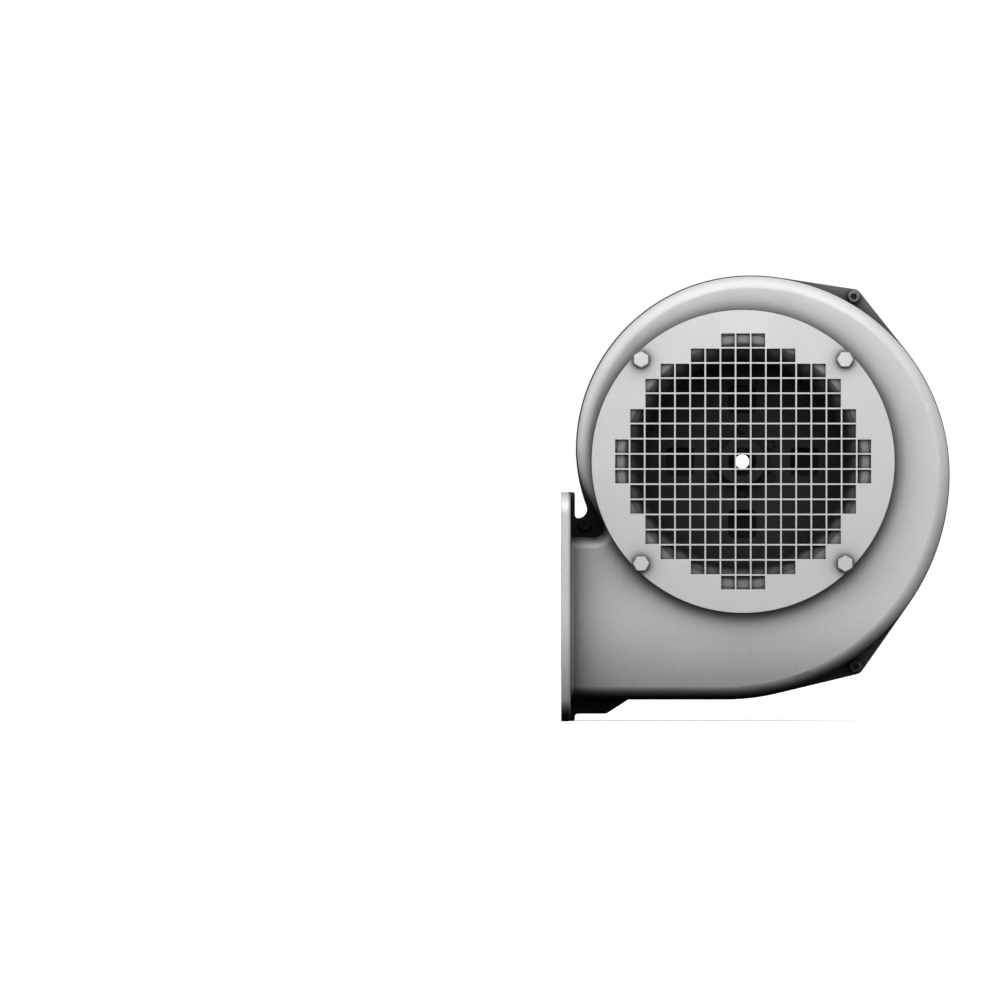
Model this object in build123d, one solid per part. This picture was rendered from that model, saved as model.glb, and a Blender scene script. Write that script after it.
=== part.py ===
from build123d import *

import os
from math import acos, atan2, cos, degrees, hypot, radians, sin, sqrt

# Combustion fan: cast two-part scroll, drum impeller, flange motor.
#
# Every piece is drawn about the shaft: x to the right, y up, z out of the inlet, with the
# parting plane of the casing at z = 0 and the motor on the negative side. place() then turns
# it into the row frame, whose origin is the centre of the outlet flange's face, with +X into
# the fan, +Y from inlet to motor and +Z up. All sizes are millimetres.

# Shaft in the row frame
SHAFT_X = 126.0
SHAFT_Z = 100.7

# Scroll: arcs growing by SCROLL_STEP a quarter turn, about three corners of a square
SCROLL_STEP = 17.5
SCROLL_X = 5.2
SCROLL_Y = 8.2
SCROLL_R = 121.1
TONGUE_R = 80.9
NOSE_R = 6.0
DUCT_TOP = -51.6
RIM_LEDGE = 1.0
RIM_T = 6.0
WALL = 4.5
CASE_HALF = 50.0
CORNER_R = 8.0
GASKET_T = 1.0
JOINT_Z = GASKET_T / 2

# Outlet flange
OUTLET_X = -SHAFT_X
OUTLET_Y = -SHAFT_Z
FLANGE_T = 6.5
FLANGE_H = 159.0
FLANGE_W = 144.0
FLANGE_CORNER_R = 14.0
FLANGE_EDGE_R = 2.5
FLANGE_RIM_T = 9.5
FLANGE_RIM_END_R = 1.5
FLANGE_BACK = OUTLET_X + FLANGE_T
FLANGE_RIM_BACK = OUTLET_X + FLANGE_RIM_T
DUCT_ROOT_R = 2.5
FLANGE_HOLE_R = 4.5
FLANGE_HOLE_Y = 66.0
FLANGE_HOLE_Z = 58.0

# Ears and screws along the parting rim: x, y of the screw and radius of the ear
UPPER_EAR = (77.2, 114.6, 5.2)
LOWER_EAR = (78.3, -142.3, 5.6)
FOOT_SCREW = (-98.6, -169.3)
WEB_SCREW = (-109.7, -43.9)
FOOT_BOTTOM = -175.2
FOOT_CORNER_X = -94.7
FOOT_END_X = -79.4
FOOT_CORNER_R = 4.0
WEB_TOP = -39.3
WEB_ARC_R = 100.0
NOTCH_R = 6.2
NOTCH_X = -114.3
ROOT_R = 2.1
M5_R = 2.5
M5_CLEARANCE_R = 2.75
M5_HEAD_R = 4.25
M5_HEAD_H = 5.0
M5_SOCKET_R = 2.3
M5_NUT_AF = 8.0
M5_NUT_H = 4.0
M5_WASHER_R = 4.5
M5_WASHER_T = 1.0
THREAD_GAP = 0.1

# Inlet collar, guard and nozzle
COLLAR_R = 104.0
COLLAR_TOP = 58.0
COLLAR_BORE_R = 84.0
SEAT_R = 88.0
NOZZLE_T = 2.0
NOZZLE_RIM_R = 87.7
NOZZLE_MOUTH_R = 82.0
NOZZLE_THROAT_R = 70.0
NOZZLE_END = 36.0
GUARD_R = 105.0
GUARD_T = 3.0
GUARD_TOP = COLLAR_TOP + GUARD_T
CELL_PITCH = 10.5
CELL_SIZE = 9.4
CELL_COUNT_EACH_WAY = 8
CELL_REACH = 8.65
GUARD_BOLT_R = 100.0
M6_R = 3.0
M6_CLEARANCE_R = 3.3
M6_AF = 10.0
M6_HEAD_H = 4.0
M6_WASHER_R = 6.0
M6_WASHER_T = 1.6
GUARD_BOLT_END = 49.0
BOLT_CHAMFER = 0.5

# Impeller
IMPELLER_R = 95.0
SHEET_T = 2.0
BACK_DISC_Z = -34.0
FRONT_RING_Z = 38.0
FRONT_RING_R = 74.0
BLADE_COUNT = 40
BLADE_T = 1.2
BLADE_IN_R = 77.0
BLADE_CURVE_R = 18.0
BLADE_SWEEP = 64.0
WINDOW_SIZE = 19.5
WINDOW_CORNER_R = 3.5
WINDOW_R = 43.3
HUB_R = 17.0
HUB_FRONT = -20.0
HUB_BACK = -49.0
HUB_FLANGE_R = 28.0
HUB_FLANGE_BACK = -41.0
HUB_RECESS_R = 9.0
HUB_RECESS_FLOOR = -26.0
RIVET_COUNT = 6
RIVET_FIRST = 30.0
RIVET_PITCH_R = 22.5
RIVET_R = 2.0
RIVET_HEAD_R = 3.6
RIVET_CROWN_R = 2.6
RIVET_HEAD_H = 1.6
RIVET_TAIL_H = 1.5
KEY_W = 5.0
KEY_FRONT = -28.0
KEY_BACK = -48.0
KEY_SEAT = 4.0
KEY_TOP = 9.0
SET_SCREW_Z = -45.0
SET_SCREW_TOP = 16.4
SET_SCREW_SOCKET_R = 1.7
SET_SCREW_SOCKET_DEPTH = 3.0

# Shaft
SHAFT_END = -25.0
SHAFT_R = 7.0
SHAFT_CHAMFER = 2.15
SEAT_SHOULDER_Z = -50.5
BEARING_BORE_R = 7.5
SHAFT_CORE_R = 9.0
FAN_SEAT_R = 6.0
SHAFT_REAR_END = -228.0
CLIP_Z = -225.0
CLIP_T = 1.0
CLIP_GROOVE_R = 5.5
FIT_GAP = 0.05

# Motor mounting face
PAD_R = 62.0
PAD_FACE = -54.0
SHIELD_FACE = PAD_FACE - GASKET_T
SPIGOT_R = 35.0
SPIGOT_TOP = -51.5
MOTOR_FLANGE_R = 52.5
MOTOR_SCREW_R = 42.5
M6_CAP_R = 5.0
M6_CAP_H = 6.0
M6_SOCKET_R = 2.9
M6_CAP_LENGTH = 20.0

# Motor body
HOUSING_FRONT = -80.0
HOUSING_REAR = -190.0
HOUSING_BORE_R = 56.0
HOUSING_R = 61.0
FIN_R = 68.0
FIN_T = 2.0
FIN_COUNT = 44
LUG_R = 6.5
LUG_PITCH_R = 61.5
LUG_SEAT_FRONT = -72.0
LUG_SEAT_REAR = -198.0
SHIELD_SCREW_LENGTH = 20.0
REGISTER_LENGTH = 4.0
SHIELD_R = 64.0
SHIELD_SHOULDER_Z = -68.0
SHIELD_IN_R = 51.0
SHIELD_FACE_T = 10.0
BEARING_BOSS_R = 24.0
DRIVE_WEB_OUT_Z = -73.0
DRIVE_WEB_IN_Z = -70.0
REAR_WEB_OUT_Z = -191.0
REAR_WEB_IN_Z = -193.0
REAR_BOSS_T = 5.0
MOTOR_HOLE_DEPTH = 12.0
SHIELD_HOLE_DEPTH = 15.0
TAB_IN_R = 60.0
TAB_HALF_W = 5.0
CORE_FRONT = -98.0
CORE_REAR = -172.0
STATOR_R = 55.9
STATOR_BORE_R = 30.6
ROTOR_R = 30.0
SLOT_COUNT = 24
SLOT_W = 4.6
SLOT_IN_R = 33.0
SLOT_OUT_R = 46.0
SLOT_MOUTH_W = 1.8
COIL_FRONT = -83.0
COIL_REAR = -185.0
COIL_GAP = 0.2
COIL_EDGE_R = 4.0
BAR_COUNT = 20
BAR_R = 1.8
BAR_PITCH_R = 26.5
CAGE_RING_IN_R = 19.0
CAGE_RING_OUT_R = 29.0
CAGE_RING_T = 7.0

# Deep-groove bearings, 15 x 35 x 11
BEARING_R = 17.5
BEARING_W = 11.0
DRIVE_BEARING_Z = -69.5
REAR_BEARING_Z = -190.0
BALL_COUNT = 8
BALL_R = 2.98
RACE_R = 3.1
BALL_PITCH_R = 12.5
RACE_HALF_GAP = 2.1
CAGE_HALF_T = 0.6
CAGE_HALF_W = 4.0
PRELOAD_IN_R = 12.6
PRELOAD_OUT_R = 17.2
PRELOAD_T = 0.5
SEAL_R = 12.0
SEAL_FRONT = -52.0
SEAL_BACK = -57.0
SEAL_SKIN_T = 1.2
SEAL_LIP_R = 10.0
SEAL_MOUTH_R = 10.6

# Motor cooling fan and cowl
FAN_R = 58.0
FAN_FRONT = -207.0
FAN_DISC_T = 2.5
FAN_HUB_R = 12.0
FAN_REAR = -224.0
FAN_BLADE_COUNT = 8
FAN_BLADE_T = 2.2
CLIP_R = 8.6
CLIP_MOUTH_HALF_W = 2.0
COWL_R = 72.0
COWL_T = 1.5
COWL_EDGE_R = 4.0
COWL_FRONT = -182.0
COWL_REAR = -236.0
COWL_SLOT_COUNT = 30
COWL_SLOT_W = 3.2
COWL_SLOT_IN_R = 20.0
COWL_SLOT_OUT_R = 60.0
COWL_SCREW_Z = -194.0
M4_R = 2.0
M4_CLEARANCE_R = 2.3
M4_HEAD_R = 3.8
M4_HEAD_H = 2.4
M4_HEAD_EDGE_R = 1.2
M4_CROSS_HALF_L = 2.2
M4_CROSS_HALF_W = 0.5
M4_CROSS_DEPTH = 1.0
COWL_SCREW_LENGTH = 9.0

# Terminal box on top of the motor
BOX_PAD_HALF_X = 36.0
BOX_PAD_FRONT = -84.0
BOX_PAD_REAR = -150.0
BOX_PAD_TOP = 70.0
BOX_HALF_X = 42.0
BOX_FRONT = -82.0
BOX_REAR = -152.0
BOX_BOTTOM = BOX_PAD_TOP + GASKET_T
BOX_TOP = 100.0
BOX_WALL = 3.0
BOX_CORNER_R = 6.0
BOX_MID_Z = (BOX_FRONT + BOX_REAR) / 2
BOX_LENGTH = BOX_FRONT - BOX_REAR
LID_T = 5.0
LID_TOP = BOX_TOP + GASKET_T + LID_T
LID_EDGE_R = 2.5
LID_HOLLOW = 2.0
LID_HOLLOW_INSET = 15.0
LID_POST_R = 5.0
LID_SCREW_INSET = 6.5
LID_SCREW_LENGTH = 16.0
BOX_HOLE_DEPTH = 9.0
BOX_SCREW_LENGTH = 10.0
BOX_SCREW_X = 25.0
BOX_SCREW_Z = (-102.0, -143.0)
LEAD_HOLE_HALF_X = 12.0
LEAD_HOLE_FRONT = -86.0
LEAD_HOLE_REAR = -96.0
BOARD_HALF_X = 20.0
BOARD_FRONT = -108.0
BOARD_REAR = -138.0
BOARD_TOP = 84.0
STUD_PITCH_X = 13.0
STUD_ROWS_Z = (-115.0, -131.0)
STUD_TOP = 93.0
STUD_FOOT = 3.0
LINK_T = 1.0
LINK_HALF_W = 4.0
M4_NUT_AF = 7.0
M4_NUT_H = 3.2
LEAD_R = 1.2
LEAD_PITCH_X = 7.0
LEAD_Z = -91.0
LEAD_BEND_R = 6.0
LEAD_Y = BOARD_TOP + LEAD_R + 0.3
EARTH_X = 30.0
EARTH_Z = -133.0
EARTH_HOLE_FLOOR = 0.8
EARTH_SCREW_LENGTH = 2.0
GLAND_Y = 87.0
GLAND_Z = BOX_MID_Z
GLAND_THREAD_R = 8.0
GLAND_AF = 20.0
GLAND_SPOUT_R = 7.4
GLAND_NUT_AF = 19.0
GLAND_BORE_R = 5.8
GLAND_HEX_T = 5.0
GLAND_THREAD_L = 8.0
GLAND_SPOUT_END = 15.0
GLAND_SEAL_START = 3.0
GLAND_SEAL_END = 16.5
GLAND_NUT_START = 5.5
GLAND_NUT_SHOULDER = 8.0
GLAND_NUT_END = 20.0
GLAND_LOCKNUT_T = 4.0
CABLE_R = 4.0
RATING_PLATE_T = 0.8
RATING_PLATE_HALF_L = 25.0
RATING_PLATE_HALF_H = 9.0
RATING_PLATE_CORNER_R = 2.0
RATING_RIVET_HALF_PITCH = 22.0
RATING_RIVET_R = 1.0
RATING_RIVET_HEAD_R = 1.9
RATING_RIVET_TOP = 1.8


def place(piece):
    """Turn a piece drawn about the shaft into the row frame."""
    return Pos(SHAFT_X, 0, SHAFT_Z) * Rot(90, 0, 0) * piece


def group(pieces):
    """Several separate solids of one kind."""
    return Compound(list(pieces))


def bar(radius, low, high, x=0.0, y=0.0):
    """Round bar parallel to the shaft."""
    return Pos(x, y, low) * extrude(Circle(radius), high - low)


def ring(outer_r, inner_r, low, high, x=0.0, y=0.0):
    """Plain ring parallel to the shaft."""
    return Pos(x, y, low) * extrude(Circle(outer_r) - Circle(inner_r), high - low)


def hex_bar(across_flats, low, high, x=0.0, y=0.0, turn=0.0):
    """Hexagonal bar parallel to the shaft, with a corner at the angle `turn`."""
    hexagon = RegularPolygon(across_flats / 2, 6, major_radius=False, rotation=turn)
    return Pos(x, y, low) * extrude(hexagon, high - low)


def block(x_span, y_span, z_span):
    """Box between two limits along each axis."""
    size = [high - low for low, high in (x_span, y_span, z_span)]
    middle = [(high + low) / 2 for low, high in (x_span, y_span, z_span)]
    return Pos(*middle) * Box(*size)


def turned(*profile):
    """Solid of revolution about the shaft from (radius, height) corners."""
    corners = [(radius, 0, height) for radius, height in profile]
    return revolve(make_face(Polyline(*corners, close=True)), Axis.Z)


def around(piece, count, first=0.0):
    """Copies of a piece evenly spaced about the shaft."""
    return [Rot(0, 0, first + 360 / count * step) * piece for step in range(count)]


def four_corners(radius):
    """The four diagonal positions on a bolt circle."""
    reach = radius / sqrt(2)
    return [(reach, reach), (-reach, reach), (-reach, -reach), (reach, -reach)]


# ---------------------------------------------------------------- casing

def scroll(inset, outlet_x):
    """Outline of scroll and outlet duct, drawn `inset` inside the rim as a chain of tangent arcs."""
    low_y = SCROLL_Y - SCROLL_STEP
    left_x = SCROLL_X - SCROLL_STEP
    bottom = low_y - SCROLL_R - 2 * SCROLL_STEP + inset
    top = DUCT_TOP - inset
    tongue_x = SCROLL_X - SCROLL_R + TONGUE_R
    nose_y = DUCT_TOP + NOSE_R
    nose_x = tongue_x - sqrt((TONGUE_R + NOSE_R) ** 2 - (SCROLL_Y - nose_y) ** 2)
    lean = degrees(atan2(SCROLL_Y - nose_y, tongue_x - nose_x))
    outline = Line((outlet_x, bottom), (left_x, bottom))
    outline += CenterArc((left_x, low_y), SCROLL_R + 2 * SCROLL_STEP - inset, 270, 90)
    outline += CenterArc((SCROLL_X, low_y), SCROLL_R + SCROLL_STEP - inset, 0, 90)
    outline += CenterArc((SCROLL_X, SCROLL_Y), SCROLL_R - inset, 90, 90)
    outline += CenterArc((tongue_x, SCROLL_Y), TONGUE_R - inset, 180, lean)
    outline += CenterArc((nose_x, nose_y), NOSE_R + inset, lean, -lean - 90)
    outline += Line((nose_x, top), (outlet_x, top))
    outline += Line((outlet_x, top), (outlet_x, bottom))
    return make_face(outline)


def ear(screw_x, screw_y, ear_r, arc_x, arc_r):
    """Ear of the parting rim: a round end joined to one scroll arc by its two common tangents."""
    arc_y = SCROLL_Y - SCROLL_STEP
    lead = atan2(screw_y - arc_y, screw_x - arc_x)
    spread = acos((arc_r - ear_r) / hypot(screw_x - arc_x, screw_y - arc_y))
    corners = [(arc_x, arc_y)]
    for angle in (lead - spread, lead + spread):
        on_arc = (arc_x + arc_r * cos(angle), arc_y + arc_r * sin(angle))
        on_ear = (screw_x + ear_r * cos(angle), screw_y + ear_r * sin(angle))
        corners += [on_arc, on_ear] if angle < lead else [on_ear, on_arc]
    return make_face(Polyline(*corners, close=True)) + Pos(screw_x, screw_y) * Circle(ear_r)


def foot_web():
    """Web of the rim under the duct, between the flange and the scroll's lowest line."""
    rim_bottom = SCROLL_Y - SCROLL_R - 3 * SCROLL_STEP
    inside = rim_bottom + 2 * CORNER_R
    outline = Line((OUTLET_X + 1, inside), (OUTLET_X + 1, FOOT_BOTTOM - ROOT_R))
    outline += Line((OUTLET_X + 1, FOOT_BOTTOM - ROOT_R), (FLANGE_RIM_BACK, FOOT_BOTTOM - ROOT_R))
    outline += CenterArc((FLANGE_RIM_BACK + ROOT_R, FOOT_BOTTOM - ROOT_R), ROOT_R, 180, -90)
    outline += FilletPolyline(
        (FLANGE_RIM_BACK + ROOT_R, FOOT_BOTTOM),
        (FOOT_CORNER_X, FOOT_BOTTOM),
        (FOOT_END_X, rim_bottom),
        radius=FOOT_CORNER_R,
    )
    outline += Line((FOOT_END_X, rim_bottom), (FOOT_END_X, inside))
    outline += Line((FOOT_END_X, inside), (OUTLET_X + 1, inside))
    return make_face(outline)


def tongue_web():
    """Web of the rim above the duct, with a round notch between flange and scroll."""
    rim_left = SCROLL_X - SCROLL_R
    arc_x = rim_left + WEB_ARC_R
    notch_y = WEB_TOP + NOTCH_R
    lean = degrees(atan2(SCROLL_Y - notch_y, arc_x - NOTCH_X))
    meet_x = NOTCH_X + NOTCH_R * cos(radians(lean))
    meet_y = notch_y + NOTCH_R * sin(radians(lean))
    inner_x = rim_left + 3 * CORNER_R
    inner_y = DUCT_TOP - CORNER_R
    outline = ThreePointArc(
        (rim_left, SCROLL_Y),
        (arc_x - WEB_ARC_R * cos(radians(lean / 2)), SCROLL_Y - WEB_ARC_R * sin(radians(lean / 2))),
        (meet_x, meet_y),
    )
    outline += CenterArc((NOTCH_X, notch_y), NOTCH_R, lean, -lean - 90)
    outline += CenterArc((NOTCH_X, WEB_TOP + ROOT_R), ROOT_R, 270, -90)
    outline += Polyline(
        (NOTCH_X - ROOT_R, WEB_TOP + ROOT_R),
        (OUTLET_X + 1, WEB_TOP + ROOT_R),
        (OUTLET_X + 1, inner_y),
        (inner_x, inner_y),
        (inner_x, SCROLL_Y),
        (rim_left, SCROLL_Y),
    )
    return make_face(outline)


def rim_face():
    """Parting rim with its ears and webs."""
    face = scroll(0, OUTLET_X + 1) + flange_rim()
    face += ear(*UPPER_EAR, SCROLL_X, SCROLL_R + SCROLL_STEP)
    face += ear(*LOWER_EAR, SCROLL_X - SCROLL_STEP, SCROLL_R + 2 * SCROLL_STEP)
    face += foot_web()
    face += tongue_web()
    return face


def case_screw_places():
    """Positions of the four screws that close the casing."""
    return [UPPER_EAR[:2], LOWER_EAR[:2], FOOT_SCREW, WEB_SCREW]


def outlet_flange():
    """Rectangular flange with rounded corners, its back edge rounded all the way round."""
    outline = Plane.YZ * RectangleRounded(FLANGE_H, FLANGE_W, FLANGE_CORNER_R)
    slab = Pos(OUTLET_X, OUTLET_Y, 0) * extrude(outline, FLANGE_T)
    return fillet(slab.faces().sort_by(Axis.X)[-1].edges(), FLANGE_EDGE_R)


def flange_rim():
    """Outline of the thicker rib that carries the parting rim across the flange."""
    rib = Pos(OUTLET_X + FLANGE_RIM_T / 2, OUTLET_Y) * Rectangle(FLANGE_RIM_T, FLANGE_H)
    return fillet(rib.vertices().group_by(Axis.X)[-1], FLANGE_RIM_END_R)


def flange_holes():
    """The four bolt holes of the outlet flange."""
    hole = Rot(0, 90, 0) * Cylinder(FLANGE_HOLE_R, 3 * FLANGE_T)
    steps = [(y, z) for y in (-FLANGE_HOLE_Y, FLANGE_HOLE_Y) for z in (-FLANGE_HOLE_Z, FLANGE_HOLE_Z)]
    return [Pos(OUTLET_X, OUTLET_Y + y, z) * hole for y, z in steps]


def rounded_prism(outline, height, radius, outlet_x):
    """Prism of a scroll outline, with its far edge rounded except at the outlet."""
    prism = extrude(outline, height)
    edges = prism.faces().sort_by(Axis.Z)[-1].edges()
    return fillet(edges.filter_by(lambda edge: abs(edge.center().X - outlet_x) > 1), radius)


def casing_half():
    """Half casing on the inlet side of the joint, without collar or motor pad."""
    shell_x = OUTLET_X + 1
    shell = rounded_prism(scroll(RIM_LEDGE, shell_x), CASE_HALF, CORNER_R, shell_x) + outlet_flange()
    root = shell.edges().filter_by(lambda edge: abs(edge.center().X - FLANGE_BACK) < 0.01)
    root = root.filter_by(lambda edge: edge.center().Z > 0)
    inner_root = [edge for edge in root if edge.bounding_box().max.Z < CASE_HALF + 1]
    shell = fillet(inner_root, DUCT_ROOT_R)
    half = shell + extrude(rim_face(), JOINT_Z + RIM_T)
    mouth_x = OUTLET_X - FLANGE_T
    cavity_outline = scroll(RIM_LEDGE + WALL, mouth_x)
    half -= rounded_prism(cavity_outline, CASE_HALF - WALL, CORNER_R - WALL, mouth_x)
    half -= block((2 * OUTLET_X, -2 * OUTLET_X), (2 * OUTLET_X, -2 * OUTLET_X), (-FLANGE_W, JOINT_Z))
    for x, y in case_screw_places():
        half -= bar(M5_CLEARANCE_R, 0, 2 * RIM_T, x, y)
    for hole in flange_holes():
        half -= hole
    return half


def front_casing(half):
    """Inlet half: the collar that carries the guard, its bore, the nozzle seat and tapped holes."""
    casing = half + bar(COLLAR_R, CASE_HALF - WALL, COLLAR_TOP)
    casing -= bar(COLLAR_BORE_R, 0, COLLAR_TOP + 1)
    casing -= bar(SEAT_R, COLLAR_TOP - NOZZLE_T, COLLAR_TOP + 1)
    for x, y in four_corners(GUARD_BOLT_R):
        casing -= bar(M6_R + THREAD_GAP, GUARD_BOLT_END - 1, COLLAR_TOP + 1, x, y)
    return casing


def rear_casing(half):
    """Motor half: the pad for the motor flange, its register bore and four screw holes."""
    casing = mirror(half, Plane.XY) + bar(PAD_R, PAD_FACE, WALL - CASE_HALF)
    casing -= bar(SPIGOT_R + FIT_GAP, PAD_FACE - 1, 0)
    for x, y in four_corners(MOTOR_SCREW_R):
        casing -= bar(M6_CLEARANCE_R, PAD_FACE - 1, 0, x, y)
    return casing


def casing_gasket():
    """Flat gasket between the two casing halves, following the rim across the flange."""
    face = rim_face() - scroll(RIM_LEDGE + WALL, OUTLET_X - FLANGE_T)
    for x, y in case_screw_places():
        face -= Pos(x, y) * Circle(M5_CLEARANCE_R)
    return Pos(0, 0, -JOINT_Z) * extrude(face, GASKET_T)


def cap_screw(radius, head_r, head_h, socket_r, length):
    """Socket cap screw standing on z = 0, with its shank downwards."""
    head = chamfer(bar(head_r, 0, head_h).edges().sort_by(Axis.Z)[-1], BOLT_CHAMFER)
    socket = extrude(RegularPolygon(socket_r, 6), head_h)
    return head + bar(radius, -length, 0) - Pos(0, 0, head_h / 2) * socket


def case_screws():
    """Cap screws through the ears."""
    length = 2 * (JOINT_Z + RIM_T) + M5_WASHER_T + M5_NUT_H + 1
    screw = cap_screw(M5_R, M5_HEAD_R, M5_HEAD_H, M5_SOCKET_R, length)
    return group(Pos(x, y, JOINT_Z + RIM_T) * screw for x, y in case_screw_places())


def case_washers():
    """Washers under the nuts on the motor side."""
    face = -JOINT_Z - RIM_T
    places = case_screw_places()
    return group(ring(M5_WASHER_R, M5_CLEARANCE_R, face - M5_WASHER_T, face, x, y) for x, y in places)


def case_nuts():
    """Nuts of the case screws."""
    top = -JOINT_Z - RIM_T - M5_WASHER_T
    nut = hex_bar(M5_NUT_AF, top - M5_NUT_H, top) - bar(M5_R + THREAD_GAP, top - 2 * M5_NUT_H, top + 1)
    return group(Pos(x, y, 0) * nut for x, y in case_screw_places())


# ---------------------------------------------------------------- inlet

def inlet_guard():
    """Round plate with a square grille: every cell whose far corner lies within the grille."""
    cells = []
    steps = range(-CELL_COUNT_EACH_WAY, CELL_COUNT_EACH_WAY + 1)
    for column in steps:
        for row in steps:
            if hypot(abs(column) + 0.5, abs(row) + 0.5) <= CELL_REACH:
                cell = Rectangle(CELL_SIZE, CELL_SIZE)
                cells.append(Pos(column * CELL_PITCH, row * CELL_PITCH) * cell)
    face = Circle(GUARD_R) - cells
    for x, y in four_corners(GUARD_BOLT_R):
        face -= Pos(x, y) * Circle(M6_CLEARANCE_R)
    return Pos(0, 0, COLLAR_TOP) * extrude(face, GUARD_T)


def guard_washers():
    """Washers under the guard bolts."""
    places = four_corners(GUARD_BOLT_R)
    top = GUARD_TOP + M6_WASHER_T
    return group(ring(M6_WASHER_R, M6_CLEARANCE_R, GUARD_TOP, top, x, y) for x, y in places)


def guard_bolts():
    """Hexagon bolts that hold the guard, each turned a quarter from the last."""
    seat = GUARD_TOP + M6_WASHER_T
    head = hex_bar(M6_AF, seat, seat + M6_HEAD_H)
    dome = turned((0, seat), (M6_AF, seat), (0, seat + M6_AF))
    bolt = (head & Pos(0, 0, M6_HEAD_H - M6_AF / 2 + BOLT_CHAMFER) * dome) + bar(M6_R, GUARD_BOLT_END, seat)
    reach = GUARD_BOLT_R / sqrt(2)
    return group(around(Pos(reach, reach, 0) * bolt, 4))


def inlet_nozzle():
    """Spun bell mouth: flat rim, quarter round, short throat into the impeller's eye."""
    bend_r = NOZZLE_MOUTH_R - NOZZLE_THROAT_R
    bend = (NOZZLE_MOUTH_R, COLLAR_TOP - bend_r)
    outline = Line((NOZZLE_RIM_R, COLLAR_TOP), (NOZZLE_MOUTH_R, COLLAR_TOP))
    outline += CenterArc(bend, bend_r, 90, 90)
    outline += Polyline(
        (NOZZLE_THROAT_R, bend[1]),
        (NOZZLE_THROAT_R, NOZZLE_END),
        (NOZZLE_THROAT_R + NOZZLE_T, NOZZLE_END),
        (NOZZLE_THROAT_R + NOZZLE_T, bend[1]),
    )
    outline += CenterArc(bend, bend_r - NOZZLE_T, 180, -90)
    outline += Polyline(
        (NOZZLE_MOUTH_R, COLLAR_TOP - NOZZLE_T),
        (NOZZLE_RIM_R, COLLAR_TOP - NOZZLE_T),
        (NOZZLE_RIM_R, COLLAR_TOP),
    )
    return revolve(Plane.XZ * make_face(outline), Axis.Z)


# ---------------------------------------------------------------- impeller

def impeller_back_disc():
    """Back disc with four rounded square windows, through which the motor screws are reached."""
    window = RectangleRounded(WINDOW_SIZE, WINDOW_SIZE, WINDOW_CORNER_R)
    face = Circle(IMPELLER_R) - Circle(HUB_R + FIT_GAP)
    face -= [Rot(0, 0, 90 * side) * Pos(WINDOW_R, 0) * window for side in range(4)]
    face -= around(Pos(RIVET_PITCH_R, 0) * Circle(RIVET_R + FIT_GAP), RIVET_COUNT, RIVET_FIRST)
    return Pos(0, 0, BACK_DISC_Z - SHEET_T) * extrude(face, SHEET_T)


def impeller_front_ring():
    """Ring that ties the blades together round the eye."""
    return ring(IMPELLER_R, FRONT_RING_R, FRONT_RING_Z, FRONT_RING_Z + SHEET_T)


def impeller_blades():
    """Forward-curved blades, leaning into the turn."""
    camber = CenterArc((BLADE_IN_R, -BLADE_CURVE_R), BLADE_CURVE_R, 90, -BLADE_SWEEP)
    blade = Pos(0, 0, BACK_DISC_Z) * extrude(trace(camber, BLADE_T), FRONT_RING_Z - BACK_DISC_Z)
    return group(around(blade, BLADE_COUNT))


def impeller_hub():
    """Turned hub with a riveting flange, a recess round the shaft end and a keyway."""
    hub = turned(
        (SHAFT_R + FIT_GAP, HUB_BACK),
        (SHAFT_R + FIT_GAP, HUB_RECESS_FLOOR),
        (HUB_RECESS_R, HUB_RECESS_FLOOR),
        (HUB_RECESS_R, HUB_FRONT),
        (HUB_R - 1, HUB_FRONT),
        (HUB_R, HUB_FRONT - 1),
        (HUB_R, BACK_DISC_Z - SHEET_T),
        (HUB_FLANGE_R, BACK_DISC_Z - SHEET_T),
        (HUB_FLANGE_R, HUB_FLANGE_BACK),
        (HUB_R, HUB_FLANGE_BACK),
        (HUB_R, HUB_BACK),
    )
    hub -= block((-KEY_W / 2, KEY_W / 2), (0, KEY_TOP), (HUB_BACK - 1, HUB_RECESS_FLOOR + 1))
    hub -= upright(M6_R, SHAFT_R, HUB_R + 1, 0, SET_SCREW_Z)
    rivet_hole = bar(RIVET_R + FIT_GAP, HUB_FLANGE_BACK - 1, BACK_DISC_Z, RIVET_PITCH_R)
    for hole in around(rivet_hole, RIVET_COUNT, RIVET_FIRST):
        hub -= hole
    return hub


def upright(radius, low, high, x, z):
    """Round bar parallel to y."""
    return Pos(x, (low + high) / 2, z) * Rot(90, 0, 0) * Cylinder(radius, high - low)


def hub_rivets():
    """Rivets joining back disc and hub flange."""
    rivet = turned(
        (0, HUB_FLANGE_BACK - RIVET_TAIL_H),
        (RIVET_HEAD_R, HUB_FLANGE_BACK - RIVET_TAIL_H / 2),
        (RIVET_HEAD_R, HUB_FLANGE_BACK),
        (RIVET_R, HUB_FLANGE_BACK),
        (RIVET_R, BACK_DISC_Z),
        (RIVET_HEAD_R, BACK_DISC_Z),
        (RIVET_CROWN_R, BACK_DISC_Z + 0.75 * RIVET_HEAD_H),
        (0, BACK_DISC_Z + RIVET_HEAD_H),
    )
    return group(around(Pos(RIVET_PITCH_R, 0, 0) * rivet, RIVET_COUNT, RIVET_FIRST))


def impeller_key():
    """Parallel key between shaft and hub."""
    return block((-KEY_W / 2, KEY_W / 2), (KEY_SEAT, KEY_TOP), (KEY_BACK, KEY_FRONT))


def hub_set_screw():
    """Socket set screw that presses on the key."""
    screw = upright(M6_R - FIT_GAP, KEY_TOP, SET_SCREW_TOP, 0, SET_SCREW_Z)
    socket = extrude(RegularPolygon(SET_SCREW_SOCKET_R, 6), SET_SCREW_SOCKET_DEPTH)
    return screw - Pos(0, SET_SCREW_TOP, SET_SCREW_Z) * Rot(90, 0, 0) * socket


# ---------------------------------------------------------------- shaft, rotor and bearings

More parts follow.
